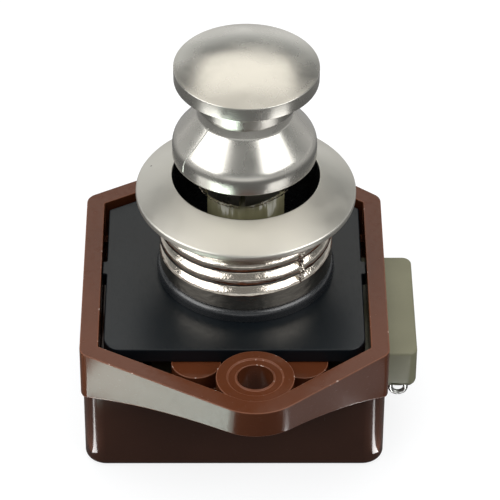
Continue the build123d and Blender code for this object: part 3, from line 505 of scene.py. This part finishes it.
def round_corners(corners, steps=5):
    """A closed outline from (radius, height, rounding) corners, in mm, with an arc at each rounded one."""
    points = []
    for index, (r, z, rounding) in enumerate(corners):
        here = Vector((r, z))
        if not rounding:
            points.append(here)
            continue
        before = (Vector(corners[index - 1][:2]) - here).normalized()
        after = (Vector(corners[(index + 1) % len(corners)][:2]) - here).normalized()
        half = before.angle(after) / 2
        middle = here + (before + after).normalized() * (rounding / math.sin(half))
        start = here + before * (rounding / math.tan(half)) - middle
        finish = here + after * (rounding / math.tan(half)) - middle
        sweep = math.atan2(start.cross(finish), start.dot(finish))
        for step in range(steps + 1):
            angle = sweep * step / steps
            points.append(middle + Vector((start.x * math.cos(angle) - start.y * math.sin(angle),
                                           start.x * math.sin(angle) + start.y * math.cos(angle))))
    return points


square = [(1, 0, 0.1), (2, 0, 0.1), (2, 1, 0.1), (1, 1, 0.1)]
print("a rounded square has", len(round_corners(square)), "points")

# %% [markdown]
# Every mesh that this script makes goes through one function, which turns its faces outwards and shades it
# smooth up to a given angle. The lathe then joins the outline's turned copies ring by ring, and closes a
# point on the axis into one pole.

# %% Meshes and the lathe
ON_AXIS = 1e-6


def mesh_object(name, vertices, faces, finish, sharp=35):
    """An object from vertices in mm, with outward faces, smooth but for edges sharper than an angle."""
    mesh = bpy.data.meshes.new(name)
    mesh.from_pydata([Vector(v) * MM for v in vertices], [], faces)
    work = bmesh.new()
    work.from_mesh(mesh)
    bmesh.ops.recalc_face_normals(work, faces=work.faces)
    work.to_mesh(mesh)
    work.free()
    mesh.materials.append(finish)
    mesh.shade_smooth()
    mesh.set_sharp_from_angle(angle=math.radians(sharp))
    return new_object(name, mesh)


def lathe(name, outline, finish, steps=160):
    """Spins a closed outline round the axis. A point on the axis becomes one pole."""
    vertices, rings = [], []
    for r, z in outline:
        if r < ON_AXIS:
            rings.append([len(vertices)] * steps)
            vertices.append((0, 0, z))
            continue
        rings.append(list(range(len(vertices), len(vertices) + steps)))
        for step in range(steps):
            angle = 2 * math.pi * step / steps
            vertices.append((r * math.cos(angle), r * math.sin(angle), z))
    faces = []
    for low, high in zip(rings, rings[1:] + rings[:1]):
        for step in range(steps):
            ahead = (step + 1) % steps
            corner = tuple(dict.fromkeys((low[step], low[ahead], high[ahead], high[step])))
            if len(corner) > 2:
                faces.append(corner)
    return mesh_object(name, vertices, faces, finish)


print("lathe ready")

# %% [markdown]
# ## The knob
#
# The knob is a die casting: a domed disc on a ring, a waist, a cone and a skirt that covers the stem. Its
# dome is part of a large ball, so its points come from that ball's equation, and everything below it is a
# list of corners read from the picture, height by height. The two halves of the die didn't meet exactly:
# everything below the disc's ring sits 0.2 mm to the left.

# %% Knob
DOME_TOP = 35.4
DOME_BALL = 26.0
DOME_REACH = 9.6
DOME_STEPS = 23
DIE_STEP_HEIGHT = 27.6
DIE_STEP = 0.2
KNOB_ARC_STEPS = 9

dome = []
for step in range(DOME_STEPS + 1):
    r = DOME_REACH * step / DOME_STEPS
    dome.append((r, DOME_TOP - DOME_BALL + math.sqrt(DOME_BALL ** 2 - r ** 2), 0))
below_dome = [
    (9.8, 33.5, 0.16), (9.78, 31.45, 0.15), (9.2, 31.25, 0.15), (6.95, 31.0, 0.15), (6.88, 27.85, 0.16),
    (6.3, 27.6, 0.12), (6.2, 27.2, 0.2), (6.5, 25.95, 0.8), (9.86, 21.7, 2.8), (9.85, 19.15, 0.12),
    (8.5, 19.15, 0.1), (8.5, 20.0, 0), (6.65, 21.6, 0), (6.65, 23.0, 0), (0, 23.0, 0),
]
knob = lathe("push_knob", round_corners(dome + below_dome, KNOB_ARC_STEPS), satin)
for vertex in knob.data.vertices:
    if vertex.co.z < DIE_STEP_HEIGHT * MM:
        vertex.co.x -= DIE_STEP * MM
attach(knob, "button")
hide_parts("knob")
print("knob faces", len(knob.data.polygons))

# %% [markdown]
# ## The fin on the cone
#
# Where the halves of the die met, a thin fin of metal was left and only partly ground off, so a fine bright
# line runs down the cone at the left. It could be painted on, but then it would have no edge to catch the
# light. It is a bead instead: a small diamond section carried along a path. What makes such a ridge look
# torn is that it swells and thins, so a second function gives numbers that wander round a middle.

# %% Beads


def wander(middle, swing, place):
    """A number that wanders smoothly round a middle, by the noise at a place."""
    return middle + swing * noise.noise(Vector(place))


def bead(name, path, finish):
    """A thin ridge along a path of (place, outward reach, half width) vectors, in mm."""
    vertices, faces = [], []
    for place, reach, half in path:
        vertices += [place - half, place + reach, place + half, place - reach]
    for row in range(len(path) - 1):
        for side in range(4):
            ahead = (side + 1) % 4
            faces.append((row * 4 + side, row * 4 + ahead, row * 4 + 4 + ahead, row * 4 + 4 + side))
    faces += [(0, 1, 2, 3), tuple(len(vertices) - 4 + side for side in range(4))]
    return mesh_object(name, vertices, faces, finish, sharp=60)


def spoke_at(azimuth):
    """The level way out from the axis at an azimuth in degrees, counted from the right."""
    turn = math.radians(azimuth)
    return Vector((math.cos(turn), math.sin(turn), 0))


print("bead ready, wandering by", round(wander(0, 1, (0.5, 0.5, 0.5)), 3))

# %% [markdown]
# The path's places are radius, height and azimuth, down the cone and the skirt. The ridge stays inside the
# sleeve's bore, so that the knob can be pushed in.

# %% Fin
FIN_PLACES = ((6.42, 26.2, 220.5), (6.95, 25.37, 220), (8.37, 23.54, 217.2), (8.97, 22.76, 216),
              (9.45, 21.98, 214.8), (9.74, 21.4, 213.8), (9.85, 20.8, 213), (9.87, 19.3, 212))
FIN_STEPS = 4
FIN_REACH = 0.2
FIN_HALF_WIDTH = 0.13
FIN_LIMIT = 10.1

fin_path = []
for (r, z, azimuth), (r_next, z_next, azimuth_next) in zip(FIN_PLACES, FIN_PLACES[1:]):
    lean = math.atan2(r_next - r, z - z_next)
    for step in range(FIN_STEPS):
        share = step / FIN_STEPS
        rise = z + (z_next - z) * share
        spoke = spoke_at(azimuth + (azimuth_next - azimuth) * share)
        ragged = wander(0.75, 0.5, (rise * 4, 7.7, 1))
        place = spoke * (r + (r_next - r) * share) + Vector((-DIE_STEP, 0, rise))
        height = min(FIN_REACH * ragged, FIN_LIMIT - place.xy.length)
        reach = (spoke * math.cos(lean) + Vector((0, 0, math.sin(lean)))) * height
        fin_path.append((place, reach, Vector((-spoke.y, spoke.x, 0)) * FIN_HALF_WIDTH * ragged))
fin = bead("knob_fin", fin_path, filed_plate)
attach(fin, "button")
print("fin faces", len(fin.data.polygons))

# %% [markdown]
# ## The torn edge of the stem
#
# The split stem was cut off roughly, and at its lower edge the plating is torn into a bright, uneven burr.
# The edge is worn back a little towards the right. Two beads follow it, one on each side of the front slot.

# %% Torn lower edge of the stem
STEM_RADIUS = 6.6
STEM_FOOT = 14.5
STEM_LIFT = 0.7
LIFT_START, LIFT_SPAN = 272, 30
TORN_STRETCHES = ((193, 261), (269, 328))
TORN_STEPS = 60
BURR_OUT, BURR_UP, BURR_HALF_WIDTH = 0.12, 0.1, 0.11


def stem_lift(azimuth):
    """How far the stem's lower edge is worn back, in mm, at an azimuth in degrees."""
    return STEM_LIFT * min(1.0, max(0.0, (azimuth - LIFT_START) / LIFT_SPAN))


for side, (first, last) in enumerate(TORN_STRETCHES):
    torn = []
    for step in range(TORN_STEPS + 1):
        azimuth = first + (last - first) * step / TORN_STEPS
        spoke = spoke_at(azimuth)
        ragged = max(0.25, wander(0.8, 0.9, (azimuth * 0.32, 2.2 + side, 5)))
        lift = STEM_FOOT + stem_lift(azimuth) + wander(0, 0.1, (azimuth * 0.2, side, 9))
        torn.append((spoke * STEM_RADIUS + Vector((0, 0, lift)),
                     spoke * BURR_OUT * ragged + Vector((0, 0, BURR_UP * ragged)),
                     Vector((0, 0, BURR_HALF_WIDTH * ragged))))
    edge = bead(f"torn_edge_{side + 1}", torn, bright_plate)
    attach(edge, "button")
print("torn edges at", STEM_FOOT, "mm")

# %% [markdown]
# ## The rosette
#
# The rosette is a plain cone shaped ring, screwed on the barrel's outer end, that covers the rim of the hole
# in the door. Its outline has seven corners, and only the four that can be seen or touched are rounded.

# %% Rosette
ROSETTE_STEPS = 192
rosette_corners = [
    (12.05, 12.1, 0.1), (15.13, 12.1, 0.15), (15.13, 12.95, 0.4), (10.14, 15.43, 0.1),
    (10.14, 15.01, 0), (10.75, 15.01, 0), (12.05, 13.6, 0),
]
rosette = lathe("rosette_ring", round_corners(rosette_corners), satin_cast, steps=ROSETTE_STEPS)
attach(rosette, "case")
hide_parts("rosette")
print("rosette faces", len(rosette.data.polygons))

# %% [markdown]
# ## The threaded barrel
#
# The barrel is die cast, thread and all, then plated. Its thread is coarse and soft: a rounded crest that
# takes a third of each turn, a long upper flank that catches the lamps, and a short, steep lower one. A
# thread is one groove repeated at every turn, so it is cut by Geometry Nodes: each point of a plain barrel
# asks how far it is along the helix, and moves inwards where the groove is.

# %% How deep the thread is at a point


def groove_depth(group, given, parts):
    """The thread's depth at each point, from its turns along the helix; given are the group's inputs."""
    x, y, z = parts
    front = add(group, MATH, {0: y, 1: -1.0}, operation="MULTIPLY").outputs[0]
    azimuth = add(group, MATH, {0: x, 1: front}, operation="ARCTAN2").outputs[0]
    share = add(group, MATH, {0: azimuth, 1: 2 * math.pi}, operation="DIVIDE").outputs[0]
    rise = add(group, MATH, {0: z, 1: given["Start height"]}, operation="SUBTRACT").outputs[0]
    turns = add(group, MATH, {0: rise, 1: given["Pitch"]}, operation="DIVIDE").outputs[0]
    along = add(group, MATH, {0: turns, 1: share}, operation="SUBTRACT").outputs[0]
    phase = add(group, MATH, {0: along}, operation="FRACT").outputs[0]

    # One turn is an upper flank, a root, a lower flank and a slightly rounded crest.
    root_end = add(group, MATH, {0: given["Upper flank"], 1: given["Root"]}, operation="ADD").outputs[0]
    foot_end = add(group, MATH, {0: root_end, 1: given["Lower flank"]}, operation="ADD").outputs[0]
    going_in = add(group, MAP_RANGE, {"Value": phase, "From Max": given["Upper flank"]},
                   interpolation_type=EASED).outputs[0]
    coming_out = add(group, MAP_RANGE, {"Value": phase, "From Min": root_end, "From Max": foot_end,
                                        "To Min": 1.0, "To Max": 0.0}, interpolation_type=EASED).outputs[0]
    groove = add(group, MATH, {0: going_in, 1: coming_out}, operation="MINIMUM").outputs[0]
    cut = add(group, MATH, {0: groove, 1: given["Depth"]}, operation="MULTIPLY").outputs[0]
    on_crest = add(group, MAP_RANGE, {"Value": phase, "From Min": foot_end, "To Min": -1.0,
                                      "To Max": 1.0}).outputs[0]
    bulge = add(group, MATH, {0: on_crest, 1: 2.0}, operation="POWER").outputs[0]
    crown = add(group, MATH, {0: bulge, 1: given["Crown"]}, operation="MULTIPLY").outputs[0]
    deep = add(group, MATH, {0: cut, 1: crown}, operation="ADD").outputs[0]

    # The groove starts at the start height and fades in over a fifth of its first turn.
    begun = add(group, MATH, {0: along, 1: 0.0}, operation="GREATER_THAN").outputs[0]
    later = add(group, MATH, {0: along, 1: 1.0}, operation="GREATER_THAN").outputs[0]
    run_in = add(group, MAP_RANGE, {"Value": share, "From Min": -0.5, "From Max": -0.3},
                 interpolation_type=EASED).outputs[0]
    full = add(group, MATH, {0: run_in, 1: later}, operation="MAXIMUM").outputs[0]
    open_share = add(group, MATH, {0: begun, 1: full}, operation="MULTIPLY").outputs[0]
    return add(group, MATH, {0: deep, 1: open_share}, operation="MULTIPLY").outputs[0]


print("a turn of the thread is a flank, a root, a flank and a crest")

# %% [markdown]
# The node group moves only the outer wall, along its own spoke, and adds the casting's lumps to the groove.
# Its sizes are named inputs, so the same group could cut any such thread. It ends by making its result real
# and giving it its material, because an export drops what is only an instance.

# %% The thread's node group
THREAD_SIZES = ("Wall radius", "Start height", "Pitch", "Depth", "Crown", "Roughness", "Upper flank", "Root",
                "Lower flank")
LUMP_MM = 0.8


def thread_nodes():
    """A node group that cuts a helical groove into a round wall which stands on Z."""
    group = bpy.data.node_groups.new("cast_thread", "GeometryNodeTree")
    group.interface.new_socket("Geometry", in_out="OUTPUT", socket_type="NodeSocketGeometry")
    group.interface.new_socket("Geometry", in_out="INPUT", socket_type="NodeSocketGeometry")
    for name in THREAD_SIZES:
        group.interface.new_socket(name, in_out="INPUT", socket_type="NodeSocketFloat")
    group.interface.new_socket("Material", in_out="INPUT", socket_type="NodeSocketMaterial")
    given = add(group, "NodeGroupInput").outputs
    point = add(group, "GeometryNodeInputPosition").outputs[0]
    x, y, z = add(group, "ShaderNodeSeparateXYZ", {0: point}).outputs
    cut = groove_depth(group, given, (x, y, z))

    lumps = add(group, NOISE, {"Vector": point, "Scale": 1 / (LUMP_MM * MM), "Detail": 4.0}).outputs[0]
    level = add(group, MATH, {0: lumps, 1: 0.5}, operation="SUBTRACT").outputs[0]
    cast = add(group, MATH, {0: level, 1: given["Roughness"]}, operation="MULTIPLY").outputs[0]
    move = add(group, MATH, {0: cast, 1: cut}, operation="SUBTRACT").outputs[0]
    spoke = add(group, "ShaderNodeCombineXYZ", {0: x, 1: y}).outputs[0]
    way = add(group, VECTOR_MATH, {0: spoke}, operation="NORMALIZE").outputs[0]
    shift = add(group, VECTOR_MATH, {0: way, "Scale": move}, operation="SCALE").outputs[0]
    reach = add(group, VECTOR_MATH, {0: spoke}, operation="LENGTH").outputs["Value"]
    outer = add(group, MATH, {0: reach, 1: given["Wall radius"]}, operation="GREATER_THAN").outputs[0]
    moved = add(group, "GeometryNodeSetPosition",
                {"Geometry": given["Geometry"], "Selection": outer, "Offset": shift}).outputs[0]
    real = add(group, "GeometryNodeRealizeInstances", {"Geometry": moved}).outputs[0]
    coated = add(group, "GeometryNodeSetMaterial", {"Geometry": real, "Material": given["Material"]})
    add(group, "NodeGroupOutput", {"Geometry": coated.outputs[0]})
    return group


print("thread sizes", len(THREAD_SIZES))

# %% [markdown]
# The blank is a lathe piece whose outer wall has many close rows, so that the groove has points to move. The
# modifier's result is then turned into a plain mesh, and the blank is thrown away.

# %% Barrel
BARREL_RADIUS = 12.0
BARREL_BORE = 10.75
BARREL_FOOT = 1.0
BARREL_TOP = 13.53
ROW_STEP = 0.075
PLAIN_FOOT = 0.2
PLAIN_ENDS = 0.3
FOOT_CHAMFER, FOOT_EDGE = 0.2, 0.06
BARREL_STEPS = 240
INSIDE_WALL = 0.03
THREAD_SHARP = math.radians(50)
THREAD = {
    "Wall radius": (BARREL_RADIUS - INSIDE_WALL) * MM, "Start height": 3.63 * MM, "Pitch": 2.36 * MM,
    "Depth": 0.74 * MM, "Crown": 0.06 * MM, "Roughness": 0.13 * MM,
    "Upper flank": 0.46, "Root": 0.05, "Lower flank": 0.14, "Material": bright_plate,
}


def made_plain(piece):
    """The mesh that a piece's modifiers make of it; the piece itself is removed."""
    bpy.context.view_layer.update()
    mesh = bpy.data.meshes.new_from_object(piece.evaluated_get(bpy.context.evaluated_depsgraph_get()))
    bpy.data.objects.remove(piece)
    return mesh


rows = int((BARREL_TOP - BARREL_FOOT - PLAIN_ENDS) / ROW_STEP)
foot = [(BARREL_BORE, BARREL_FOOT, 0), (BARREL_RADIUS - FOOT_CHAMFER, BARREL_FOOT, 0),
        (BARREL_RADIUS - FOOT_EDGE, BARREL_FOOT + FOOT_EDGE, 0)]
wall = [(BARREL_RADIUS, BARREL_FOOT + PLAIN_FOOT + ROW_STEP * row, 0) for row in range(rows)]
top = [(BARREL_RADIUS, BARREL_TOP, 0), (BARREL_BORE, BARREL_TOP, 0)]
blank = lathe("barrel_blank", round_corners(foot + wall + top), bright_plate, steps=BARREL_STEPS)
cutter = blank.modifiers.new("thread", "NODES")
cutter.node_group = thread_nodes()
for item in cutter.node_group.interface.items_tree:
    if item.in_out == "INPUT" and item.name in THREAD:
        cutter[item.identifier] = THREAD[item.name]
threaded = made_plain(blank)
threaded.name = "cast_barrel"
threaded.shade_smooth()
threaded.set_sharp_from_angle(angle=THREAD_SHARP)
barrel = new_object("cast_barrel", threaded)
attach(barrel, "case")
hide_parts("threaded_barrel")
print("barrel faces", len(threaded.polygons))

# %% [markdown]
# ## The ragged seam
#
# Along the parting plane of the die, some metal squeezed out between the halves and tore when the casting
# was pulled. It stands across the thread at the front right as a chain of bright lumps, and fades towards
# its foot. It is a strip of nine columns that bulges outwards by two noises of different size, closed behind
# by one row of points that lie inside the barrel's wall.

# %% Seam
SEAM_AZIMUTH = 39.0
SEAM_LOW, SEAM_HIGH = 2.2, 12.0
SEAM_ROWS, SEAM_COLUMNS = 90, 9
SEAM_RADIUS = 11.45
SEAM_BACK = 11.0
SEAM_WIDTH, SEAM_WIDTH_SWING = 1.1, 0.7
SEAM_DRIFT = 0.35
SEAM_BULGE, SEAM_LUMP, SEAM_FLATTEST = 0.5, 0.75, 0.4
SEAM_FADE_START, SEAM_FADE, SEAM_FAINTEST = 3.0, 1.6, 0.15


def seam_point(radius, across, z):
    """A point of the seam, from its radius, its place across the seam and its height, in mm."""
    angle = math.radians(SEAM_AZIMUTH - 90) + across / BARREL_RADIUS
    return (radius * math.cos(angle), radius * math.sin(angle), z)


seam_vertices = []
for row in range(SEAM_ROWS + 1):
    z = SEAM_LOW + (SEAM_HIGH - SEAM_LOW) * row / SEAM_ROWS
    strength = min(1.0, max(SEAM_FAINTEST, (z - SEAM_FADE_START) / SEAM_FADE))
    width = wander(SEAM_WIDTH, SEAM_WIDTH_SWING, (z * 1.3, 9.4, 2)) * strength
    drift = wander(0, SEAM_DRIFT, (z * 0.7, 3.1, 0))
    for column in range(SEAM_COLUMNS):
        share = column / (SEAM_COLUMNS - 1)
        across = (share - 0.5) * width
        bulge = 1 - (2 * share - 1) ** 2
        lump = wander(0.5, 0.9, (z * 2.3, across * 2.5, 5.5)) + wander(0, 0.5, (z * 6.5, across * 5, 1.2))
        stand = SEAM_FLATTEST + (1 - SEAM_FLATTEST) * strength
        radius = SEAM_RADIUS + bulge * (SEAM_BULGE + SEAM_LUMP * max(0.0, lump)) * stand
        seam_vertices.append(seam_point(radius, across + drift, z))
    seam_vertices.append(seam_point(SEAM_BACK, drift, z))
ring = SEAM_COLUMNS + 1
seam_faces = []
for row in range(SEAM_ROWS):
    for column in range(ring):
        ahead = (column + 1) % ring
        seam_faces.append((row * ring + column, row * ring + ahead,
                           (row + 1) * ring + ahead, (row + 1) * ring + column))
seam_faces.append(tuple(range(ring)))
seam_faces.append(tuple(SEAM_ROWS * ring + column for column in range(ring)))
seam = mesh_object("casting_seam", seam_vertices, seam_faces, bright_plate, sharp=60)
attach(seam, "case")
print("seam faces", len(seam.data.polygons))

# %% [markdown]
# ## Mouldings with soft edges
#
# A mould can't make a perfectly sharp edge, and the thin line of light along each edge is what tells the eye
# that a thing is moulded. The housing keeps its exact solid: a copy of it is merged, its flat areas joined,
# and its edges bevelled. The bevel's own faces take the scuffed material. Weighted normals then keep the
# flat faces flat, so that their reflections don't bend near the edges.

# %% Bevelled copies
MERGE_MM = 0.001
FLAT_WITHIN = math.radians(0.4)
BEVEL_FROM = math.radians(35)
SHARP_FROM = math.radians(32)
BEVEL_SEGMENTS = 3


def merged_copy(name, node):
    """A copy of a solid's mesh with its loose triangles merged and its flat areas joined."""
    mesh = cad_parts[node].data.copy()
    mesh.name = name
    work = bmesh.new()
    work.from_mesh(mesh)
    bmesh.ops.remove_doubles(work, verts=work.verts, dist=MERGE_MM * MM)
    bmesh.ops.dissolve_limit(work, angle_limit=FLAT_WITHIN, verts=work.verts, edges=work.edges)
    work.to_mesh(mesh)
    work.free()
    return mesh


def moulding(name, node, body, finish, edge_finish, width):
    """A merged and bevelled copy of a solid, with its bevels in a finish of their own."""
    mesh = merged_copy(name, node)
    mesh.materials.clear()
    mesh.materials.append(finish)
    mesh.materials.append(edge_finish)
    for face in mesh.polygons:
        face.material_index = 0
    mesh.shade_smooth()
    sharp_piece = new_object(name + "_uncut", mesh)
    bevel = sharp_piece.modifiers.new("edges", "BEVEL")
    bevel.width = width * MM
    bevel.segments = BEVEL_SEGMENTS
    bevel.limit_method = "ANGLE"
    bevel.angle_limit = BEVEL_FROM
    bevel.material = 1
    bevel.use_clamp_overlap = False
    bevel.miter_outer = "MITER_ARC"
    bevel.harden_normals = False
    cut = made_plain(sharp_piece)
    cut.set_sharp_from_angle(angle=SHARP_FROM)
    soft_piece = new_object(name + "_soft", cut)
    weighted = soft_piece.modifiers.new("flat faces stay flat", "WEIGHTED_NORMAL")
    weighted.keep_sharp = True
    flat = made_plain(soft_piece)
    flat.name = name
    made = new_object(name, flat)
    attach(made, body)
    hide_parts(node)
    print(name, "faces", len(flat.polygons))
    return made


print("bevels from", round(math.degrees(BEVEL_FROM)), "degrees")

# %% [markdown]
# The widths are what such mouldings have: about a tenth of a millimetre on the thin shells, and more on the
# thick bolt, whose edges must not scrape the strike. Only the frame has scuffed edges, and the stem's are
# brighter than its worn faces.

# %% The moulded pieces
moulding("housing_frame", "case_frame", "case", brown, brown_edge, 0.12)
# The lower shell takes the brown darkened as painted shade.
moulding("housing_box", "case_box", "case", painted_shade_brown, painted_shade_brown, 0.1)
moulding("black_plate", "cover_plate", "case", black, black, 0.2)
moulding("bolt_tongue", "latch_bolt", "bolt", olive, olive, 0.3)
moulding("guide_bush", "guide_sleeve", "case", black_gloss, black_gloss, 0.06)
stem = moulding("split_stem", "knob_stem", "button", worn_plate, bright_plate, 0.06)
# The plunger takes the olive painted paler, as painted light.
plunger = moulding("cam_plunger", "plunger", "button", greased_olive_painted_light, greased_olive_painted_light, 0.08)

# %% [markdown]
# Two of them need one more step. The stem's lower edge is lifted where it is torn back, and the plunger's
# neck, which reaches up inside the stem, is drawn in, so that it doesn't show through the stem's slots. For
# that the plunger is first cut across at the stem's foot, because only points can be moved, and its long
# neck has none there.

# %% Stem's edge and plunger's neck
EDGE_BAND = 0.5
NECK_SHARE = 0.7
NECK_STEP = 0.05
NECK_START = 0.03

for vertex in stem.data.vertices:
    if vertex.co.z < (STEM_FOOT + EDGE_BAND) * MM:
        vertex.co.z += stem_lift(math.degrees(math.atan2(vertex.co.y, vertex.co.x)) % 360) * MM
work = bmesh.new()
work.from_mesh(plunger.data)
for height in (STEM_FOOT, STEM_FOOT + NECK_STEP):
    bmesh.ops.bisect_plane(work, geom=work.verts[:] + work.edges[:] + work.faces[:],
                           plane_co=(0, 0, height * MM), plane_no=(0, 0, 1))
for vertex in work.verts:
    if vertex.co.z > (STEM_FOOT + NECK_START) * MM:
        vertex.co.x *= NECK_SHARE
        vertex.co.y *= NECK_SHARE
work.to_mesh(plunger.data)
work.free()
print("neck drawn in to", NECK_SHARE)

# %% [markdown]
# ## Pieces that keep their solid
#
# The inner pieces and the small loop are the right shape as they are. They only get their metals.

# %% Finishes
FINISHES = {
    "bolt_loop": steel, "pawl": steel, "pawl_spring": steel, "sleeve_clip": steel, "spring_rod": steel,
    "pawl_pin": steel, "knob_screw": steel, "screw_washer": steel, "return_spring": steel,
    "knob_insert": brass,
}
for name, finish in FINISHES.items():
    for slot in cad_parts[name].material_slots:
        slot.material = finish
print("finished", len(FINISHES), "solids")
